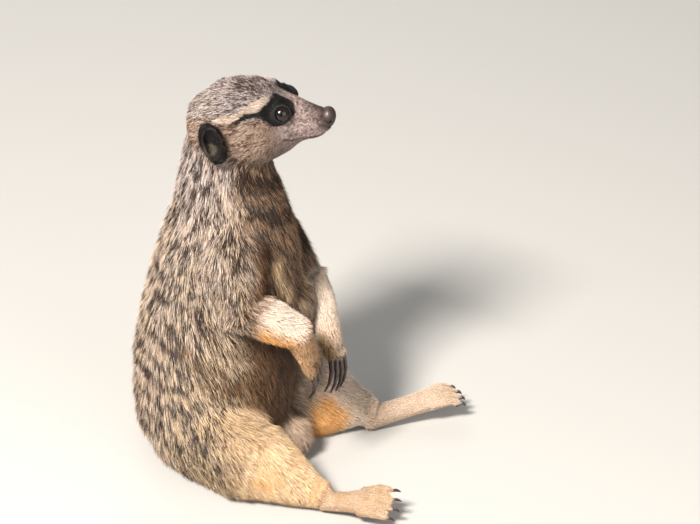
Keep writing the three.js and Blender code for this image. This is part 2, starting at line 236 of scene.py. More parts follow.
def refined(s, fields, chosen):
    """The surface with its chosen triangles split in four, and their neighbours to match."""
    t, n = s.t, len(s.p)
    e = np.stack([t, np.roll(t, -1, axis=1)], axis=2)
    e.sort(axis=2)
    key = e[:, :, 0].astype(np.int64) * n + e[:, :, 1]
    wanted = np.unique(key[chosen])
    at = np.minimum(np.searchsorted(wanted, key), len(wanted) - 1)
    split = wanted[at] == key
    a, b = wanted // n, wanted % n
    points = np.concatenate([s.p, (s.p[a] + s.p[b]) / 2])
    fields = [np.concatenate([f, (f[a] + f[b]) / 2]) for f in fields]
    middle = n + at
    count = split.sum(1)
    out = [t[count == 0]]

    def keep(*corners):
        out.append(np.stack(corners, axis=1))

    m = count == 3
    v, x = t[m], middle[m]
    keep(v[:, 0], x[:, 0], x[:, 2])
    keep(x[:, 0], v[:, 1], x[:, 1])
    keep(x[:, 2], x[:, 1], v[:, 2])
    keep(x[:, 0], x[:, 1], x[:, 2])
    for k in range(3):
        m = (count == 1) & split[:, k]
        v, x = np.roll(t[m], -k, axis=1), middle[m, k]
        keep(v[:, 0], x, v[:, 2])
        keep(x, v[:, 1], v[:, 2])
        m = (count == 2) & ~split[:, k]
        v, x = np.roll(t[m], -k - 1, axis=1), np.roll(middle[m], -k - 1, axis=1)
        keep(x[:, 0], v[:, 1], x[:, 1])
        keep(v[:, 0], x[:, 0], x[:, 1])
        keep(v[:, 0], x[:, 1], v[:, 2])
    return Surface(points, np.concatenate(out)), fields


def mesh_arrays(mesh):
    """Points in millimetres and triangles of a Blender mesh."""
    points = np.empty(len(mesh.vertices) * 3, np.float32)
    mesh.vertices.foreach_get("co", points)
    mesh.calc_loop_triangles()
    triangles = np.empty(len(mesh.loop_triangles) * 3, np.int32)
    mesh.loop_triangles.foreach_get("vertices", triangles)
    return points.reshape(-1, 3).astype(float) / MM, triangles.reshape(-1, 3)


def mesh_from(name, points, triangles, smooth=True):
    """A Blender mesh from points in millimetres."""
    mesh = bpy.data.meshes.new(name)
    mesh.vertices.add(len(points))
    mesh.vertices.foreach_set("co", (points * MM).astype(np.float32).ravel())
    mesh.loops.add(len(triangles) * 3)
    mesh.loops.foreach_set("vertex_index", triangles.astype(np.int32).ravel())
    mesh.polygons.add(len(triangles))
    mesh.polygons.foreach_set("loop_start", np.arange(0, len(triangles) * 3, 3, dtype=np.int32))
    mesh.update(calc_edges=True)
    mesh.polygons.foreach_set("use_smooth", np.full(len(triangles), smooth))
    return mesh


def place(name, mesh, material, replaces=()):
    """Links a piece in the scene on the one body."""
    o = bpy.data.objects.new(name, mesh)
    bpy.context.scene.collection.objects.link(o)
    mesh.materials.clear()
    mesh.materials.append(material)
    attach(o, "root")
    if replaces:
        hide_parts(*replaces)
    return o


def paint(mesh, colours):
    """Each point's colour, in linear light, as the attribute that the materials read."""
    layer = mesh.color_attributes.new("tint", "FLOAT_COLOR", "POINT")
    rgba = np.ones((len(colours), 4), np.float32)
    rgba[:, :3] = np.clip(colours, 0, 1)
    layer.data.foreach_set("color", rgba.ravel())


def worked(points, triangles, *modifiers, soft=None):
    """The surface after Blender modifiers, each given as its type and settings."""
    mesh = mesh_from("work", points, triangles)
    o = bpy.data.objects.new("work", mesh)
    bpy.context.scene.collection.objects.link(o)
    if soft is not None:
        o.vertex_groups.new(name="soft").add(np.flatnonzero(soft).tolist(), 1.0, "REPLACE")
    for kind_name, settings in modifiers:
        m = o.modifiers.new(kind_name, kind_name)
        for key, value in settings.items():
            setattr(m, key, value)
    graph = bpy.context.evaluated_depsgraph_get()
    graph.update()
    made = bpy.data.meshes.new_from_object(o.evaluated_get(graph))
    result = mesh_arrays(made)
    bpy.data.objects.remove(o)
    bpy.data.meshes.remove(mesh)
    bpy.data.meshes.remove(made)
    return result


def node_mesh(names):
    """The nodes' solids as one list of points and triangles."""
    points, triangles, offset = [], [], 0
    for name in names:
        p, t = mesh_arrays(NODES[name].data)
        points.append(p)
        triangles.append(t + offset)
        offset += len(p)
    return np.concatenate(points), np.concatenate(triangles)


def biggest_shell(points, triangles):
    """The surface without loose inner shells."""
    label = np.arange(len(points))
    a = triangles[:, [0, 1, 2]].ravel()
    b = triangles[:, [1, 2, 0]].ravel()
    while True:
        low = np.minimum(label[a], label[b])
        new = label.copy()
        np.minimum.at(new, a, low)
        np.minimum.at(new, b, low)
        new = new[new]
        if (new == label).all():
            break
        label = new
    keep = label == np.bincount(label).argmax()
    number = np.cumsum(keep) - 1
    return points[keep], number[triangles[keep[triangles[:, 0]]]]


def node_samples(spacing):
    """Points spread over every flesh node's surface, with the node's number."""
    points, labels = [], []
    for name in FLESH:
        p, t = mesh_arrays(NODES[name].data)
        a, b, c = p[t[:, 0]], p[t[:, 1]], p[t[:, 2]]
        longest = np.maximum.reduce([np.linalg.norm(b - a, axis=1), np.linalg.norm(c - b, axis=1),
                                     np.linalg.norm(a - c, axis=1)])
        cuts = np.ceil(longest / spacing).astype(int)
        for k in np.unique(cuts):
            m = cuts == k
            for i in range(k + 1):
                for j in range(k + 1 - i):
                    u, v = i / k, j / k
                    points.append(a[m] * (1 - u - v) + b[m] * u + c[m] * v)
                    labels.append(np.full(m.sum(), REGION[name]))
    return np.concatenate(points), np.concatenate(labels)


def nearest_index(points, samples):
    """For each point, the number of the sample nearest to it."""
    tree = KDTree(len(samples))
    for i, s in enumerate(samples):
        tree.insert(s, i)
    tree.balance()
    return np.array([tree.find(p)[1] for p in points])


def share_of(weights, *kinds):
    """How much each point belongs to the named kinds of region."""
    return sum(weights[:, i] for name, i in REGION.items() if kind(name) in kinds)


# ---------------------------------------------------------------- the skin's shape

EYES = {}
for side in ("left", "right"):
    low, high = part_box(side + "_eye")
    EYES[side] = (np.array((low + high) / 2) / MM, (high - low).x / 2 / MM)
LID_AXIS = unit(np.array([0.30, 0.84, 0.36]))
LID_ANGLE = 58.0
MOUTH_LINE = [(20.5, 0, -9.8), (19.2, 2.6, -11.4), (17.4, 4.2, -13.1), (15.0, 5.0, -15.2),
              (12.6, 5.8, -16.0), (9.2, 7.2, -16.3), (6, 9.0, -16.5), (3.1, 11.4, -15.9), (1.2, 13.0, -14.6)]


def mirrored(q):
    """Points with both sides folded onto the left."""
    return np.stack([q[:, 0], np.abs(q[:, 1]), q[:, 2]], axis=1)


def trunk_angle(p):
    """The angle round the trunk's axis: 0 on the back, pi on the belly."""
    return np.arctan2(np.abs(p[:, 1]), np.interp(p[:, 2], AXIS_Z, AXIS_X) - p[:, 0])


def lidded(s):
    """Opens the skin over each eye, with a rim that stands a little off the ball."""
    q = to_head(s.p)
    settle = np.zeros(len(q))
    for side, sign in (("left", 1), ("right", -1)):
        centre, radius = EYES[side]
        centre = to_head(centre[None])[0]
        axis = LID_AXIS * (1, sign, 1)
        v = q - centre
        r = np.linalg.norm(v, axis=1)
        angle = np.degrees(np.arccos(np.clip((v @ axis) / np.maximum(r, 1e-6), -1, 1)))
        near = (r < radius + 7) & (angle < 125) & (q[:, 1] * sign > 1)
        arc = np.radians(angle - LID_ANGLE) * radius
        rim = radius + 0.5
        lid = 0.3 * np.exp(-((arc - 0.7) / 0.5) ** 2) - 0.35 * np.exp(-((arc - 2.1) / 0.6) ** 2)
        outside = np.clip(r, rim, rim + 0.9 * np.maximum(arc, 0)) + lid
        open_share = 1 - step(-0.35, 0.3, arc)
        new = outside * (1 - open_share) + (radius - 1.1) * open_share
        fade = (1 - step(radius + 3.5, radius + 7, r)) * (1 - step(95, 125, angle))
        q = np.where(near[:, None], centre + v * (1 + fade * (new / np.maximum(r, 1e-6) - 1))[:, None], q)
        settle = np.maximum(settle, near * step(0.9, 2.2, arc) * (1 - step(radius + 5, radius + 7, r)))
    s.p = from_head(q)
    for _ in range(24):
        s.p = s.p + (s.mean(s.p) - s.p) * (0.6 * settle)[:, None]


def muzzled(s, w):
    """Deepens the end of the muzzle, so that it meets the nose pad at full width."""
    q = to_head(s.p)
    end = step(8, 19, q[:, 0]) * (share_of(w, "head") > 0.5)
    q[:, 2] -= 2.4 * end * step(-3, -10, q[:, 2])
    q[:, 1] *= 1 + 0.12 * end
    s.p = from_head(q)


def mouthed(s):
    """Presses the line of the mouth into the skin, under a fuller upper lip."""
    q = mirrored(to_head(s.p))
    d, _, _, foot = nearest_on(MOUTH_LINE, q)
    above = q[:, 2] - foot[:, 2]
    n = s.normals()
    groove = -0.75 * np.exp(-(d / 0.55) ** 2)
    lip = 0.35 * np.exp(-((d - 1.5) / 0.9) ** 2) * (above > 0)
    s.p = s.p + n * ((groove + lip) * (d < 5))[:, None]


def toed(s, w):
    """Sinks grooves between the digits of each paw."""
    n = s.normals()
    for name in BONES:
        if kind(name) != "foot":
            continue
        line = np.array(BONES[name])
        way = unit(line[2] - line[1])
        across = unit(np.cross(way, [0, 0, 1]))
        start = line[1]
        v = s.p - start
        along, aside = v @ way, v @ across
        on = w[:, REGION[name]] * step(-1, 5, along) * (n[:, 2] > -0.2)
        wave = np.cos(aside / 4.4 * 2 * math.pi)
        s.p = s.p - n * (0.5 * on * np.maximum(wave, 0) ** 2)[:, None]


def build_skin():
    p, t = node_mesh(BULK)
    filled = worked(p, t, ("REMESH", {"mode": "VOXEL", "voxel_size": FILL_VOXEL * MM}),
                    ("DISPLACE", {"strength": FILL_REACH * MM, "mid_level": 0.0}),
                    ("REMESH", {"mode": "VOXEL", "voxel_size": FILL_VOXEL * MM}),
                    ("DISPLACE", {"strength": -(FILL_REACH + 0.4) * MM, "mid_level": 0.0}))
    p, t = node_mesh(FLESH + ["left_eye", "right_eye"])
    p = np.concatenate([p, filled[0]])
    t = np.concatenate([t, filled[1] + len(p) - len(filled[0])])
    p, t = biggest_shell(*worked(p, t, ("REMESH", {"mode": "VOXEL", "voxel_size": SKIN_VOXEL * MM})))
    s = Surface(p, t)
    samples, labels = node_samples(2.5)
    w = np.zeros((len(p), len(FLESH)))
    w[np.arange(len(p)), labels[nearest_index(p, samples)]] = 1
    for _ in range(16):
        w = 0.5 * w + 0.5 * s.mean(w)
    fine = share_of(w, "hand", "foot", "ear")
    head = share_of(w, "head")
    tube = share_of(w, "forearm", "shank", "tail_root", "tail_middle", "tail_tip")
    trunk = np.clip(1 - fine - head - tube, 0, 1)
    q = to_head(s.p)
    nape = head * step(-24, -32, q[:, 0]) + 0.7 * share_of(w, "neck") * step(-20, -28, q[:, 0])
    for k in range(60):
        away = s.mean(s.p) - s.p
        n = s.normals()
        fill = np.maximum((away * n).sum(1), 0)[:, None] * n
        rate = 0.9 * (trunk + tube) * (1 - nape) if k < 32 else 0
        s.p = s.p + fill * (rate + nape)[:, None]
    for k in range(40):
        rate = 0.7 * trunk + (0.6 * tube if k < 26 else 0) + (0.6 * head if k < 10 else 0.6 * nape)
        if k < 1:
            rate = rate + 0.5 * fine
        s.p = s.p + (s.mean(s.p) - s.p) * np.asarray(rate)[:, None]
    depth = sum(w[:, i] * DEPTH[kind(name)] for name, i in REGION.items())
    face = share_of(w, "head") * step(-30, -8, to_head(s.p)[:, 0])
    depth = depth * (1 - face) + 0.6 * face
    depth *= 0.3 + 0.7 * step(1.0, 16.0, s.p[:, 2])
    between = np.linalg.norm((s.p - BULGE_AT) / BULGE_RADII, axis=1)
    depth = depth - BULGE * (1 - step(0.2, 1.0, between)) * share_of(w, "belly", "chest")
    for _ in range(6):
        s.p = s.p - s.normals() * depth[:, None] / 6
        s.p = s.p + (s.mean(s.p) - s.p) * (0.25 * (trunk + tube))[:, None]

    q = to_head(s.p)
    detailed = (share_of(w, "head") > 0.5) & (q[:, 0] > -13) | (share_of(w, "ear") > 0.3)
    s, (w,) = refined(s, [w], detailed[s.t].all(axis=1))
    face = share_of(w, "head") * step(-14, -10, to_head(s.p)[:, 0])
    for _ in range(3):
        s.p = s.p + (s.mean(s.p) - s.p) * (0.5 * face)[:, None]
    lidded(s)
    mouthed(s)
    muzzled(s, w)
    toed(s, w)
    for _ in range(30):
        w = 0.4 * w + 0.6 * s.mean(w)
    return s, w


skin, belongs = build_skin()


# ---------------------------------------------------------------- markings, shared by skin and coat

ASH = colour("e6cebd")
SAND = colour("e6c596")
LILAC = colour("d0c3c5")
CREAM = colour("d9b084")
WHITE = colour("f5decb")
GOLD = colour("e59a22")
OCHRE = colour("8a5a1c")
TAN = colour("b08458")
BLUSH = colour("85695f")
UMBER = colour("5e3711")
EARTH = colour("3a2b22")
BARK = colour("2a1a10")
SOOT = colour("0c0807")

EYE_OUTLINE = [(-9.6, 4.2), (-6.5, 7.2), (-2.3, 7.4), (1.2, 5.0), (4.5, 2.2), (5.4, -1.4), (3.1, -4.2),
               (-0.6, -6.0), (-4.4, -5.7), (-8.4, -2.0), (-12.2, 0.6)]
EAR_LINE = [(-9, 17, 1.8), (-16.6, 19.4, 1), (-20.6, 20.8, -1.4), (-24.7, 21.8, -3.5), (-30, 21.3, -3.6)]
BROW_LINE = [(-3, 8.5, 8.6), (-6.7, 11.7, 8.1), (-13, 15.2, 4.7), (-19.9, 19.6, 0.8), (-30.9, 20.2, -2.4)]
CROWN_LINE = [(-21.4, 4.9, 11.1), (-13, 4.4, 10.5), (-8.2, 2.8, 9.1), (-0.6, 3, 5.5)]
THROAT_BARS_AND_JAW_SHADOW = [[(28.6, 19.5, 179), (37.9, 9.5, 173), (40.4, 6, 171), (41, 0, 170)],
               [(29.2, 22.4, 164), (39.4, 14.9, 162), (44.8, 9.4, 157), (46, 0, 156)]]
ARMPIT_SHADE_LINE = [(37, 22, 150), (41, 22, 142), (43, 26, 131), (44, 28, 121)]
FLANK_LINE = [(-18, 26, 110), (-6, 35, 90), (10, 39, 76), (26, 36, 68)]
CHEST_LINE = [(46.5, 16, 134), (48.5, 15, 122), (51.5, 11, 111)]


def markings(p, w):
    """The colours of the pale and the dark hair at each point, and the share that is dark."""
    q = to_head(p)
    m = mirrored(q)
    x, y, z = p.T
    folded = mirrored(p)
    big, mid = noise(p, 11.0, 1), noise(p, 4.5, 2)
    flat = np.ones((len(p), 1))

    def near(line, radius, points=folded, ragged=0.5):
        """1 on a line, fading to 0 at the radius, with an uneven edge."""
        d = nearest_on(line, points)[0]
        return 1 - step(0.45 * radius, radius, d + ragged * radius * (mid - 0.5))

    def spot(centre, radii, points=p):
        d = np.linalg.norm((points - centre) / radii, axis=1)
        return 1 - step(0.5, 1.05, d + 0.3 * (mid - 0.5))

    angle = trunk_angle(p)
    front = step(1.85, 2.3, angle + 0.25 * (big - 0.5))
    low = 1 - step(60, 130, z)

    warm = 0.25 + 0.55 * low * step(0.7, 1.7, angle) + 0.5 * (mid - 0.5)
    pale = mix(ASH * flat, SAND * flat, np.clip(warm, 0, 1))
    pale = mix(pale, mix(LILAC * flat, WHITE * flat, 0.25), 0.8 * step(140, 185, z) * (1 - front))
    dark = EARTH * flat
    wave = z + 9 * angle + 6 * (big - 0.5)
    bands = np.sin(wave * 2 * math.pi / 11.5) * step(12, 30, z) * (1 - step(130, 160, z))
    share = 0.55 + 0.22 * bands * (1 - step(0.8, 1.6, angle)) + 0.12 * (big - 0.5)
    rust = near(FLANK_LINE, 9.0) * step(0.3, 0.7, mid)
    pale = mix(pale, OCHRE, 0.75 * rust)

    # chest and belly: brown, paler in streaks; the throat's brown is partly painted shade, the belly below the
    # arms painted shade
    # the chest and throat brown: partly the fur's own colour, partly painted shade under the head
    shaded_bib = front * step(96, 108, z)
    # painted shade: the belly between the arms and the thighs is darkened to umber for the shadow it lies in
    under = front * (1 - step(92, 106, z))
    pale = mix(pale, mix(TAN * flat, UMBER * flat, 0.3 + 0.5 * mid), 0.85 * shaded_bib)
    share = share + shaded_bib * (0.5 - share)
    pale = mix(pale, UMBER, 0.9 * under)
    dark = mix(dark, BARK, np.maximum(shaded_bib, under))
    share = share + under * (0.34 - share)
    streak = near(CHEST_LINE, 5.5)
    pale = mix(pale, SAND, 0.75 * streak)
    share = share * (1 - 0.6 * streak)
    # dark throat bars: the upper one is painted shadow of the head under the jaw, the lower one darker fur
    bars_and_jaw_shadow = np.maximum(near(THROAT_BARS_AND_JAW_SHADOW[0], 6.0), near(THROAT_BARS_AND_JAW_SHADOW[1], 5.5))
    # painted shade in the armpit crease, over dark brown hair
    armpit_shade = near(ARMPIT_SHADE_LINE, 6.0)
    share = share + np.maximum(0.8 * bars_and_jaw_shadow, 0.85 * armpit_shade) * (0.9 - share)
    dark = mix(dark, BARK, np.maximum(bars_and_jaw_shadow, armpit_shade))
    groin = spot((50, -3, 20), (14, 13, 14))
    pale = mix(pale, mix(TAN * flat, WHITE * flat, 0.4), 0.85 * groin)
    share = share * (1 - 0.85 * groin)
    collar = near([(8, 26, 196), (18, 28, 180), (27, 26, 164)], 9.0)
    pale = mix(pale, mix(SAND * flat, WHITE * flat, 0.6), 0.7 * collar)
    share = share * (1 - 0.5 * collar)
    to_arm = nearest_on(BONES["left_forearm"], p)[0]
    by_arm = (1 - step(12, 16, to_arm + 3 * (mid - 0.5))) * step(110, 102, z)
    pale = mix(pale, WHITE, by_arm)
    share = share * (1 - 0.85 * by_arm)
    trunk = (pale, dark, share)

    # limbs
    fore = step(12, 38, x + 0.3 * (z - 30) + 8 * (mid - 0.5))
    thigh_pale = mix(pale, mix(CREAM * flat, SAND * flat, mid), fore)
    thigh_share = share * (1 - 0.72 * fore)
    # painted light: the front of the left thigh is whitened as if lit, to make up for the shade it lies in
    thigh_pale = mix(thigh_pale, WHITE, 0.7 * fore * (y > 0))
    thigh_share = thigh_share + 0.35 * spot((24, 50, 22), (13, 12, 13), folded) * (0.75 - thigh_share)
    # golden fur made deeper gold by painted warm bounce light from the floor on the inner left thigh
    inner = spot((60, 20, 14), (20, 13, 20))
    thigh_pale = mix(thigh_pale, GOLD, 0.85 * inner)
    thigh_share = thigh_share * (1 - inner)
    thigh = (thigh_pale, mix(EARTH * flat, UMBER * flat, 0.5 * fore), thigh_share)

    gold = np.maximum(spot((48, 54, 22), (11, 10, 9), folded), spot((76, 47, 13), (8, 12, 8), folded))
    shank_pale = mix(mix(CREAM * flat, SAND * flat, mid), GOLD, 0.3 * gold)
    # painted light: the left shank is whitened as the lit one
    shank_pale = mix(shank_pale, WHITE, 0.9 * step(5, 25, y))
    # the painted bounce light carried onto the inner left shank
    shank_pale = mix(shank_pale, GOLD, 0.85 * inner)
    shank = (shank_pale, UMBER * flat, 0.10 + 0.25 * (1 - step(4, 12, z)) * (y < 0))

    _, _, _, foot_of = nearest_on(BONES["right_forearm"], folded * (1, -1, 1))
    lift = (z - foot_of[:, 2]) / 8.0
    # painted bounce light: the underside of the right forearm is turned gold by warm light from the floor
    arm_pale = mix(WHITE * flat, GOLD * flat, 0.85 * (1 - step(-0.6, 0.4, lift)) * (y < 0))
    bared = np.where(y < 0, step(25, 34, 0.966 * x + 0.259 * y + 5 * (mid - 0.5)),
                     step(112, 103, z + 4 * (mid - 0.5)))
    arm_dark = mix(dark, UMBER, bared)
    forearm = (mix(pale, arm_pale, bared), arm_dark, share * (1 - bared) + (0.05 + 0.1 * mid) * bared)
    upper_arm = (mix(pale, arm_pale, bared * (y > 0)), arm_dark, share * (1 - 0.9 * bared * (y > 0)))
    # painted light and shade: the right hand is darkened towards tan as the shaded one, the left whitened as
    # the lit one
    hand_pale = mix(CREAM * flat, TAN * flat, 0.55 * (y < 0) + 0.2 * mid)
    hand = (mix(hand_pale, WHITE, 0.6 * step(0, 8, y)), EARTH * flat, 0.12 + 0.3 * mid * step(84, 70, z))
    # painted light: the left foot is whitened as the lit one
    foot_pale = mix(mix(CREAM * flat, WHITE * flat, 0.4 * mid), WHITE * flat, 0.4 * (y > 0))
    foot = (foot_pale, UMBER * flat, 0.05 * flat[:, 0])
    tail = (mix(SAND * flat, TAN * flat, 0.3 + 0.4 * mid), EARTH * flat, 0.28 + 0.2 * (big - 0.5))
    tip = (UMBER * flat, SOOT * flat, 0.9 * flat[:, 0])
    olive = 1 - step(2.5, 4.5, np.linalg.norm(to_head(p)[:, [0, 2]] - (-35.5, -17.0), axis=1))
    ear = (mix(colour("18110e") * flat, colour("4d4539"), 0.8 * olive), SOOT * flat, 0.6 * (1 - olive))

    # the head: speckled crown, black eye patches, tan cheeks, pale muzzle
    hx, hy, hz = m.T
    wob = noise(q, 1.6, 5) - 0.5
    patch = 1 - step(-0.5, 0.5, outline_distance(hx, hz, EYE_OUTLINE) + 0.7 * wob)
    patch = patch * step(2.0, 4.5, hy)
    to_ear, along_ear, _, _ = nearest_on(EAR_LINE, m)
    ear_line = 1 - step(0.3, 1.3, to_ear - 1.1 + 0.05 * along_ear + 0.8 * wob)
    head_pale = mix(LILAC * flat, ASH * flat, 0.5 * mid + 0.4 * step(-20, -40, q[:, 0]))
    head_share = 0.54 + 0.15 * (big - 0.5)
    streak = near(CROWN_LINE, 5.0, m)
    head_share = head_share + 0.6 * streak * (0.85 - head_share)
    brow = near(BROW_LINE, 3.6, m) * (1 - patch)
    head_pale = mix(head_pale, mix(SAND * flat, WHITE * flat, 0.4), 0.55 * brow)
    head_share = head_share * (1 - 0.75 * brow)
    cheek = (1 - step(-3.5, -1.0, hz - 0.12 * (hx + 20))) * (1 - step(-5, 3, hx))
    head_pale = mix(head_pale, mix(TAN * flat, ASH * flat, 0.2 + 0.6 * mid), 0.8 * cheek)
    head_share = head_share + cheek * (0.48 + 0.4 * (mid - 0.5) - head_share)
    head_dark = mix(EARTH * flat, UMBER * flat, 0.5 * cheek)
    snout = step(-5, 5, hx + 5 * wob)
    head_pale = mix(head_pale, mix(BLUSH * flat, LILAC * flat, 0.22), 0.95 * snout)
    head_share = head_share + snout * (0.33 - head_share)
    bright = near([(-4, 17, -8.5), (2, 12.5, -8.5), (8, 9, -8.5), (13, 6.5, -9)], 4.2, m)
    head_pale = mix(head_pale, colour("a8958d"), 0.6 * bright)
    head_share = head_share * (1 - 0.4 * bright)
    jaw = step(-15.5, -19, hz) * step(-12, -4, hx)
    head_pale = mix(head_pale, colour("b5a398"), 0.6 * jaw)
    bridge = step(7, 19, hx + 0.35 * (hz + 4) - 0.25 * hy)
    head_pale = mix(head_pale, colour("2e211e"), 0.92 * bridge * step(-13, -9, hz))
    lips = nearest_on(MOUTH_LINE, m)[0]
    lip = (1 - step(0.35, 1.1, lips + 0.3 * wob))
    black = np.maximum(patch, 0.9 * ear_line)
    head_pale = mix(mix(head_pale, colour("3a2a22"), 0.9 * lip), colour("100b09"), black)
    head_dark = mix(head_dark, SOOT, np.maximum(black, lip))
    head_share = np.clip(np.maximum(head_share, black), 0, 1)
    head = (head_pale, head_dark, head_share)

    of_kind = {"belly": trunk, "chest": trunk, "neck": trunk, "upper_arm": upper_arm, "thigh": thigh,
               "shank": shank, "forearm": forearm, "hand": hand, "foot": foot, "ear": ear, "head": head,
               "tail_root": tail, "tail_middle": tail, "tail_tip": tip}
    total = w.sum(1)
    result = [np.zeros((len(p), 3)), np.zeros((len(p), 3)), np.zeros(len(p))]
    for name, i in REGION.items():
        a, b, c = of_kind[kind(name)]
        result[0] += w[:, i:i + 1] * a
        result[1] += w[:, i:i + 1] * b
        result[2] += w[:, i] * c
    return result[0] / total[:, None], result[1] / total[:, None], np.clip(result[2] / total, 0, 1)


# ---------------------------------------------------------------- the coat

# per kind of region: tufts to a square millimetre, their length and width, and how far they stand up
HAIR = {
    "belly": (3.5, 9.0, 0.58, 17),
    "chest": (3.7, 8.5, 0.56, 17),
    "neck": (4.8, 6.5, 0.47, 18),
    "head": (7.6, 3.0, 0.36, 18),
    "upper_arm": (3.4, 8.0, 0.56, 17),
    "forearm": (4.6, 5.0, 0.42, 19),
    "hand": (6.4, 2.6, 0.32, 17),
    "thigh": (3.8, 8.5, 0.56, 16),
    "shank": (3.8, 6.5, 0.50, 15),
    "foot": (6.0, 1.9, 0.30, 12),
    "tail_root": (3.0, 8.0, 0.56, 15),
    "tail_middle": (3.0, 7.5, 0.52, 15),
    "tail_tip": (3.2, 7.0, 0.50, 15),
    "ear": (6.0, 2.0, 0.32, 26),
}


def lie_of_hair(s, w):
    """The unit direction that hair lies in at each point of the skin, and the skin's normal."""
    p = s.p
    x, y, z = p.T
    angle = trunk_angle(p)
    flank = np.sin(angle) * (1 - step(60, 150, z))
    down = np.stack([0.12 + 0.55 * flank, 0.1 * np.sign(y) * flank, -np.ones(len(p))], axis=1)
    way = np.zeros_like(p)
    for name, i in REGION.items():
        k = kind(name)
        if k in ("belly", "chest", "neck"):
            d = down
        elif name in BONES:
            _, _, d, foot = nearest_on(BONES[name], p)
            d = d + 0.12 * unit(p - foot)
            if k == "upper_arm":
                d = 0.5 * d + 0.5 * unit(down)
            elif k == "thigh":
                d = mix(unit(down), unit(d), 0.15 + 0.7 * step(5, 45, x))
            elif k == "shank":
                d = d + np.array([0, 0, -0.35])
        else:
            q = to_head(p)
            d = np.tile(np.array([-1.0, 0.0, 0.0]), (len(p), 1))
            d[:, 2] -= 0.35 * step(0, 25, -q[:, 0]) + 0.3 * step(-12, -25, q[:, 2])
            d[:, 1] += 0.25 * np.sign(q[:, 1]) * step(2, 12, np.abs(q[:, 1])) * step(10, -10, q[:, 0])
            if k == "ear":
                d = np.tile(np.array([-0.5, 0.0, 0.6]), (len(p), 1))
            d = d @ HEAD_TURN.T
        way += w[:, i:i + 1] * unit(d)
    n = s.normals()
    for _ in range(12):
        way = unit(way - (way * n).sum(1, keepdims=True) * n)
        way = way * 0.5 + s.mean(way) * 0.5
    return unit(way - (way * n).sum(1, keepdims=True) * n), n


def scatter(s, density, rng):
    """Random roots over the surface: triangle numbers and weights of the corners."""
    a, b, c = (s.p[s.t[:, k]] for k in range(3))
    area = np.linalg.norm(np.cross(b - a, c - a), axis=1) / 2
    want = area * density[s.t].mean(axis=1)
    number = np.floor(want + rng.random(len(want))).astype(int)
    tri = np.repeat(np.arange(len(s.t)), number)
    u, v = rng.random(len(tri)), rng.random(len(tri))
    flip = u + v > 1
    u = np.where(flip, 1 - u, u)
    v = np.where(flip, 1 - v, v)
    return tri, np.stack([1 - u - v, u, v], axis=1)


def spikes(root, normal, side, tip, width, colours, uv):
    """Thin three-sided spikes, open at the sunken base: points, triangles, colours and places on the map."""
    base = root - ROOT_SINK * normal
    half = (width / 2)[:, None]
    points = np.stack([base - side * half, base + side * half, base + normal * half * 0.6, tip], axis=1)
    points[:, :, 2] = np.maximum(points[:, :, 2], LOWEST_TUFT)
    shades = np.stack([colours[:, 0]] * 3 + [colours[:, 1]], axis=1)
    faces = np.array([(0, 1, 3), (1, 2, 3), (2, 0, 3)])
    triangles = (faces[None] + (np.arange(len(root)) * 4)[:, None, None]).reshape(-1, 3)
    spots = np.array([(-UV_REACH, -UV_REACH), (UV_REACH, -UV_REACH), (0.0, -UV_REACH + 0.0001),
                      (0.0, UV_REACH)])
    at = uv[:, None, :] * (1 - 4 * UV_REACH) + 2 * UV_REACH + spots[None]
    return points.reshape(-1, 3), triangles, shades.reshape(-1, 3), at.reshape(-1, 2)


def unwrap(name, p):
    """A region's own unwrap: the angle round its axis, and the way along it."""
    if name in BONES:
        _, along, d, foot = nearest_on(BONES[name], p)
        across = p - foot
        x_axis = unit(np.cross(d, np.tile([0.0, 1.0, 0.02], (len(p), 1))))
        y_axis = np.cross(d, x_axis)
        return np.stack([np.arctan2((across * y_axis).sum(1), (across * x_axis).sum(1)), along], axis=1)
    q = to_head(p)
    return np.stack([np.arctan2(q[:, 1], q[:, 2] + 9), q[:, 0]], axis=1)


def fitted(uv):
    low, high = uv.min(0), uv.max(0)
    return (uv - low) / np.maximum(high - low, 1e-6)


# ---------------------------------------------------------------- materials

def material(name, roughness=0.6):
    m = bpy.data.materials.new(name)
    m.use_nodes = True
    tree = m.node_tree
    shader = tree.nodes["Principled BSDF"]
    shader.inputs["Roughness"].default_value = roughness
    return m, tree, shader


def add(tree, kind_name, **sockets):
    node = tree.nodes.new(kind_name)
    for key, value in sockets.items():
        if key in node.inputs:
            node.inputs[key].default_value = value
        else:
            setattr(node, key, value)
    return node


def noise_node(tree, scale, detail=2.0):
    node = add(tree, "ShaderNodeTexNoise", Scale=scale, Detail=detail)
    tree.links.new(add(tree, "ShaderNodeTexCoord").outputs["Object"], node.inputs["Vector"])
    return node.outputs["Fac"]


def ramp(tree, source, low, high):
    """A value from 0..1 mapped to low..high."""
    node = add(tree, "ShaderNodeMapRange")
    node.inputs["To Min"].default_value = low
    node.inputs["To Max"].default_value = high
    tree.links.new(source, node.inputs["Value"])
    return node.outputs["Result"]


def bump(tree, shader, source, strength, distance):
    node = add(tree, "ShaderNodeBump", Strength=strength, Distance=distance)
    tree.links.new(source, node.inputs["Height"])
    tree.links.new(node.outputs["Normal"], shader.inputs["Normal"])


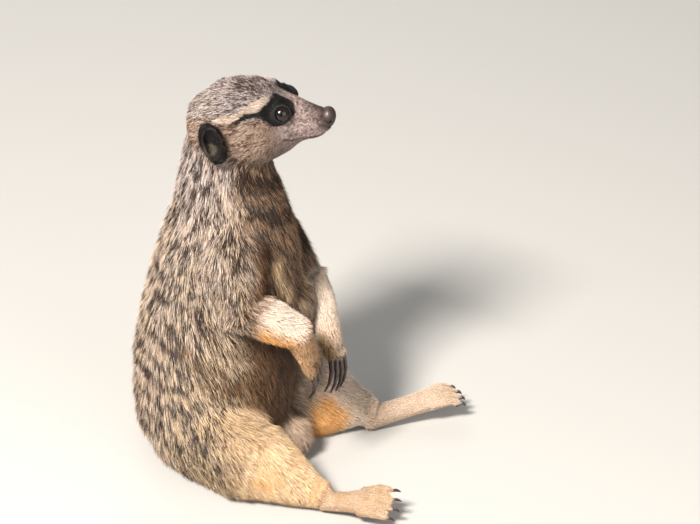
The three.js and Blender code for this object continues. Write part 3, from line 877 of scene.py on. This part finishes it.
def tinted(name, roughness, scale, spread, bump_strength, bump_distance, specular=0.3):
    """A material of the painted tint with fine noise, uneven roughness and bump."""
    m, tree, shader = material(name, roughness)
    tint = add(tree, "ShaderNodeVertexColor", layer_name="tint")
    grain = noise_node(tree, scale, 3.0)
    hue = add(tree, "ShaderNodeHueSaturation")
    tree.links.new(tint.outputs["Color"], hue.inputs["Color"])
    tree.links.new(ramp(tree, grain, 1 - spread, 1 + spread), hue.inputs["Value"])
    tree.links.new(hue.outputs["Color"], shader.inputs["Base Color"])
    tree.links.new(ramp(tree, grain, roughness - 0.1, roughness + 0.1), shader.inputs["Roughness"])
    bump(tree, shader, grain, bump_strength, bump_distance)
    shader.inputs["Specular IOR Level"].default_value = specular
    return m


COAT = tinted("coat_hair", 0.55, 900.0, 0.25, 0.2, 0.0002)
SKIN = tinted("skin", 0.7, 1800.0, 0.35, 0.6, 0.0004)
CLAW = tinted("claw_horn", 0.3, 700.0, 0.2, 0.3, 0.0001, specular=0.5)
NOSE = tinted("nose_leather", 0.5, 2500.0, 0.2, 0.6, 0.0002, specular=0.5)
EYE = tinted("eye_wet", 0.2, 900.0, 0.2, 0.0, 0.0001, specular=0.2)
for wet, weight in ((EYE, 0.55), (NOSE, 0.08)):
    shader = wet.node_tree.nodes["Principled BSDF"]
    shader.inputs["Coat Weight"].default_value = weight
    shader.inputs["Coat Roughness"].default_value = 0.03 if wet is EYE else 0.25

# ---------------------------------------------------------------- the skin, with fewer triangles under the fur

rng = np.random.default_rng(11)
way, normal = lie_of_hair(skin, belongs)
pale, dark, dark_share = markings(skin.p, belongs)


def build_skin_piece():
    q = to_head(skin.p)
    small = share_of(belongs, "ear", "hand", "foot") > 0.3
    keep = (share_of(belongs, "head") > 0.4) & (q[:, 0] > -16) | small
    ratio = SKIN_TRIANGLES / len(skin.t)
    p, t = worked(skin.p, skin.t, ("DECIMATE", {"ratio": ratio, "vertex_group": "soft"}), soft=~keep)
    nearest = nearest_index(p, skin.p)
    tone = mix(pale, dark, dark_share)[nearest]
    face = (share_of(belongs, "head") * step(-8, 6, q[:, 0]))[nearest]
    bare = np.maximum(face, share_of(belongs, "ear")[nearest])
    mesh = mesh_from("skin", p, t)
    mottled = 1 + 1.5 * face * (noise(p, 0.9, 12) + noise(p, 0.5, 13) - 1)
    # under the fur the skin is painted at 0.4 of the coat's tone, for darker underfur and for painted shade in
    # the gaps between tufts; face and ears at 0.8
    paint(mesh, tone * ((0.4 + 0.4 * bare) * mottled)[:, None])
    place("skin", mesh, SKIN, FLESH)


build_skin_piece()


# ---------------------------------------------------------------- eyes, nose and claws

def ball(subdivisions):
    """Points and triangles of a ball with a radius of 1."""
    mesh = bpy.data.meshes.new("ball")
    shape = bmesh.new()
    bmesh.ops.create_icosphere(shape, subdivisions=subdivisions, radius=1.0)
    shape.to_mesh(mesh)
    shape.free()
    p, t = mesh_arrays(mesh)
    bpy.data.meshes.remove(mesh)
    return unit(p), t


def build_eye(side, sign):
    """A dark brown eye with a long black pupil, under a wet coat."""
    centre, radius = EYES[side]
    p, t = ball(5)
    axis = (LID_AXIS * (1, sign, 1)) @ HEAD_TURN.T
    across = unit(np.cross([0, 0, 1.0], axis))
    above = np.cross(axis, across)
    u, v = p @ across, p @ above
    ring = np.hypot(u, v)
    facing = p @ axis > 0
    pupil = np.hypot(u / 0.36, v / 0.24)
    iris = mix(np.tile(colour("0d0806"), (len(p), 1)), colour("1c110b"), noise(p, 0.09, 7))
    tone = mix(iris, colour("030303"), np.maximum(1 - step(0.85, 1.1, pupil), step(0.62, 0.74, ring)))
    tone = np.where(facing[:, None], tone, colour("1a1210"))
    cornea = 1 + 0.035 * (1 - step(0.55, 0.8, ring)) * facing
    mesh = mesh_from(side + "_eyeball", centre + p * (radius * cornea)[:, None], t)
    paint(mesh, tone)
    place(side + "_eyeball", mesh, EYE, [side + "_eye"])


def build_nose():
    """The bare nose pad with its nostrils, slits and middle groove."""
    low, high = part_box("nose")
    centre = to_head(np.array((low + high) / 2)[None] / MM)[0]
    p, t = ball(6)
    folded = mirrored(p)
    nostril = unit(np.array([0.60, 0.74, -0.12]))
    slit = [nostril, unit(np.array([0.30, 0.93, -0.22])), unit(np.array([-0.1, 0.97, -0.1]))]
    hole = np.exp(-(np.linalg.norm(folded - nostril, axis=1) / 0.24) ** 2)
    cut = np.exp(-(nearest_on(slit, folded)[0] / 0.13) ** 2)
    groove = np.exp(-(p[:, 1] / 0.09) ** 2) * step(0.2, -0.3, p[:, 2]) * (p[:, 0] > 0)
    wing = np.exp(-(np.linalg.norm(folded - unit(np.array([0.2, 0.9, 0.35])), axis=1) / 0.4) ** 2)
    grain = noise(p, 0.07, 4) - 0.5
    size = 1.03 - 0.30 * hole - 0.16 * cut - 0.10 * groove + 0.05 * wing + 0.02 * grain
    q = p * NOSE_RADII * size[:, None]
    c, s = math.cos(NOSE_LEAN), math.sin(NOSE_LEAN)
    q = np.stack([q[:, 0] * c + q[:, 2] * s, q[:, 1], q[:, 2] * c - q[:, 0] * s], axis=1)
    mesh = mesh_from("nose_pad", from_head(q + centre - NOSE_SHIFT), t)
    # painted shade: the nostrils, slits and middle groove are darkened
    hollow_shade = np.clip(hole + 0.8 * cut + 0.5 * groove, 0, 1)
    tone = mix(np.tile(colour("2b1b16"), (len(p), 1)), colour("080606"), hollow_shade)
    paint(mesh, tone * (0.8 + 0.4 * (grain + 0.5))[:, None])
    place("nose_pad", mesh, NOSE, ["nose"])


def build_claw(name):
    """A rounded copy of a claw's solid, dark horn mottled paler, with a paler root."""
    hand = "hand" in name
    voxel = 0.22 if hand else 0.16
    p, t = worked(*node_mesh([name]), ("REMESH", {"mode": "VOXEL", "voxel_size": voxel * MM}))
    s = Surface(p, t)
    for _ in range(5):
        s.p = s.p + (s.mean(s.p) - s.p) * 0.6
    limb, number = name.split("_claw_")
    _, along, d, foot = nearest_on(BONES[limb], s.p)
    share = fitted(along[:, None])[:, 0]
    s.p = s.p + s.normals() * (0.35 if hand else 0.15) * (1 - 0.6 * share[:, None])
    root = share < 0.12
    back = unit(s.p[root].mean(0) - s.p[(share > 0.12) & (share < 0.4)].mean(0))
    s.p = s.p + back * ((2.6 if hand else 2.8) * (1 - step(0.0, 0.25, share)))[:, None]
    ridge = noise(s.p, 0.8, 6)
    horn = mix(np.tile(colour("2c201c"), (len(p), 1)), colour("6d5c55"), 0.4 * ridge)
    horn = mix(horn, colour("1d1513"), 0.7 * step(0.3, 0.8, share))
    mesh = mesh_from(name + "_horn", s.p, s.t)
    paint(mesh, horn)
    place(name + "_horn", mesh, CLAW, [name])


for side, sign in (("left", 1), ("right", -1)):
    build_eye(side, sign)
build_nose()
for name in NODES:
    if "claw" in name:
        build_claw(name)

# ---------------------------------------------------------------- coat pieces


def coat():
    """Every tuft of the coat: its root, directions, tip, width, colours and region."""
    table = np.array([HAIR[kind(name)] for name in FLESH], float)
    density, length, width, lift = (belongs @ table / belongs.sum(1, keepdims=True)).T
    q = to_head(skin.p)
    face = share_of(belongs, "head") * step(-26, 6, q[:, 0])
    length = length * (1 - 0.66 * face)
    width = width * (1 - 0.1 * face)
    ends = (share_of(belongs, "shank") * step(48, 74, skin.p[:, 0])
            + share_of(belongs, "forearm") * step(48, 60, skin.p[:, 0]))
    length = length * (1 - 0.5 * ends)
    density = density * (1 + 0.25 * face)
    ground = step(1.5, 7.0, skin.p[:, 2] + 6 * step(-0.2, 0.4, normal[:, 2]))
    density = density * (0.35 + 0.65 * ground)
    for centre, radius in EYES.values():
        density = density * (np.linalg.norm(skin.p - centre, axis=1) > radius + 0.75)
    of_ear = share_of(belongs, "ear") > 0.4
    cup = np.hypot((q[:, 0] + 34) / 5.6, (q[:, 2] + 13.6) / 10.4) < 1
    density = np.where(of_ear, np.where(cup & (np.abs(normal[:, 1]) > 0.2), 1.5, 12), density)
    tri, corner = scatter(skin, density, rng)

    def at(values):
        values = values if values.ndim > 1 else values[:, None]
        out = sum(values[skin.t[tri, k]] * corner[:, k:k + 1] for k in range(3))
        return out if out.shape[1] > 1 else out[:, 0]

    n = len(tri)
    root, up, lie = at(skin.p), unit(at(normal)), unit(at(way))
    size = at(length) * rng.uniform(0.75, 1.2, n)
    thick = at(width) * rng.uniform(0.8, 1.2, n)
    pale_at, dark_at, share = at(pale), at(dark), at(dark_share)
    head = at(share_of(belongs, "head"))
    wind = 26 * (noise(root, 7.0, 8) - 0.5)
    curl = 16 * (noise(root, 2.6, 9) - 0.5)
    sway = np.radians(rng.normal(0, 8, n) + wind + curl)
    side = np.cross(up, lie)
    lie = lie * np.cos(sway)[:, None] + side * np.sin(sway)[:, None]
    rise = np.radians(at(lift) * rng.uniform(0.55, 1.45, n))
    guard = rng.random(n) < 0.1
    size = np.where(guard, 1.25 * size, size)
    thick = np.where(guard, 0.8 * thick, thick)
    tip = root + (lie * np.cos(rise)[:, None] + up * np.sin(rise)[:, None]) * size[:, None]

    # tufts draw together into pointed locks round every sixth tuft
    lead = np.arange(0, n, TUFTS_TO_A_LOCK)
    leader = lead[nearest_index(root, root[lead])]
    pull = (0.45 - 0.25 * head) * rng.uniform(0.5, 1.2, n) * ~guard
    tip = tip + (tip[leader] - tip) * pull[:, None]
    # dark dashes: chance drawn out along the hair from lock to lock
    chance = rng.random(len(lead))
    run = sum(chance[nearest_index(root[lead] + lie[lead] * reach, root[lead])] for reach in (-1.6, 1.6))
    run = run + 1.2 * chance
    rank = np.empty(len(lead))
    rank[np.argsort(run)] = np.linspace(0, 1, len(lead))
    rank = rank[np.searchsorted(lead, leader)]
    along_back = (1 - head) * step(34, 4, root[:, 0] + 0.4 * np.abs(root[:, 1])) * step(20, 40, root[:, 2])
    locked = 0.45 + 0.28 * along_back
    is_dark = locked * rank + (1 - locked) * rng.random(n) < 0.93 * share

    pale_limb = at(share_of(belongs, "forearm", "shank", "hand", "foot"))
    jitter = (rng.uniform(0.3, 1.05, n) + 0.2 * pale_limb)[:, None]
    # a quarter of the pale tufts get whiter tips: pale hair tips, partly painted glints of light
    white = (rng.random(n) < 0.25) * (1 - share) * 0.6 * np.clip(2 * pale_at[:, 1], 0, 1)
    light = np.clip(mix(pale_at, WHITE, white) * jitter, 0, 1)
    shade = np.stack([light * 0.38, light], axis=1)  # at the root and at the tip
    shade[is_dark, 0] = dark_at[is_dark] * 0.6
    shade[is_dark, 1] = (dark_at * 1.3 * jitter)[is_dark]
    label = belongs[skin.t[tri, 0]].argmax(1)
    return root, up, side, tip, thick, shade, label


root, up, side, tip, thick, shade, label = coat()
for name in FLESH:
    of_region = np.flatnonzero(label == REGION[name])
    if len(of_region) == 0:
        continue
    parts = max(1, math.ceil(len(of_region) * 3 / PIECE_TRIANGLES))
    axis = 2 if name in ("belly", "chest", "neck") else 0
    ordered = of_region[np.argsort(root[of_region, axis], kind="stable")]
    for number, chosen in enumerate(np.array_split(ordered, parts)):
        uv = fitted(unwrap(name, root[chosen]))
        points, triangles, colours, spots = spikes(root[chosen], up[chosen], side[chosen], tip[chosen],
                                                   thick[chosen], shade[chosen], uv)
        piece = "coat_" + name + ("" if parts == 1 else f"_{number + 1}")
        mesh = mesh_from(piece, points, triangles, smooth=False)
        paint(mesh, colours)
        layer = mesh.uv_layers.new(name="OFBake")
        layer.data.foreach_set("uv", spots[triangles.ravel()].astype(np.float32).ravel())
        place(piece, mesh, COAT)

# ---------------------------------------------------------------- floor, lights and camera

FLOOR_HALF = 3000.0
corners = np.array([(-1, -1, 0), (1, -1, 0), (1, 1, 0), (-1, 1, 0)]) * FLOOR_HALF
floor_mesh = mesh_from("floor", corners, np.array([(0, 1, 2), (0, 2, 3)]))
floor = bpy.data.objects.new("floor", floor_mesh)
bpy.context.scene.collection.objects.link(floor)
floor_material, _, floor_shader = material("floor_pale", 0.8)
floor_shader.inputs["Base Color"].default_value = (0.40, 0.385, 0.365, 1)
floor_mesh.materials.append(floor_material)


def area_light(name, at, target, size, power, tone=(1, 1, 1)):
    data = bpy.data.lights.new(name, "AREA")
    data.size = size
    data.energy = power
    data.color = tone
    o = bpy.data.objects.new(name, data)
    bpy.context.scene.collection.objects.link(o)
    o.location = at
    o.rotation_mode = "QUATERNION"
    o.rotation_quaternion = (Vector(target) - Vector(at)).to_track_quat("-Z", "Y")


MIDDLE = (0.04, 0.03, 0.10)
area_light("key", (-0.26, -1.02, 1.28), MIDDLE, 0.3, 74, (1.0, 0.96, 0.90))
area_light("fill", (1.2, -0.8, 0.7), MIDDLE, 1.2, 12, (1.0, 0.96, 0.90))
area_light("back", (-0.5, 1.1, 1.0), MIDDLE, 1.0, 7, (1.0, 1.0, 1.0))

world = bpy.data.worlds.new("studio")
world.use_nodes = True
world.node_tree.nodes["Background"].inputs["Color"].default_value = (0.75, 0.78, 0.82, 1)
world.node_tree.nodes["Background"].inputs["Strength"].default_value = 0.35
bpy.context.scene.world = world
bpy.context.scene.view_settings.view_transform = "Standard"

camera_data = bpy.data.cameras.new("camera")
camera_data.lens = CAMERA_LENS
camera_data.sensor_width = 36
camera_data.clip_start, camera_data.clip_end = 0.05, 50
camera = bpy.data.objects.new("camera", camera_data)
bpy.context.scene.collection.objects.link(camera)
camera.location = Vector(CAMERA_AT) * MM
camera.rotation_mode = "QUATERNION"
camera.rotation_quaternion = (Vector(CAMERA_TARGET) - Vector(CAMERA_AT)).to_track_quat("-Z", "Y")
bpy.context.scene.camera = camera
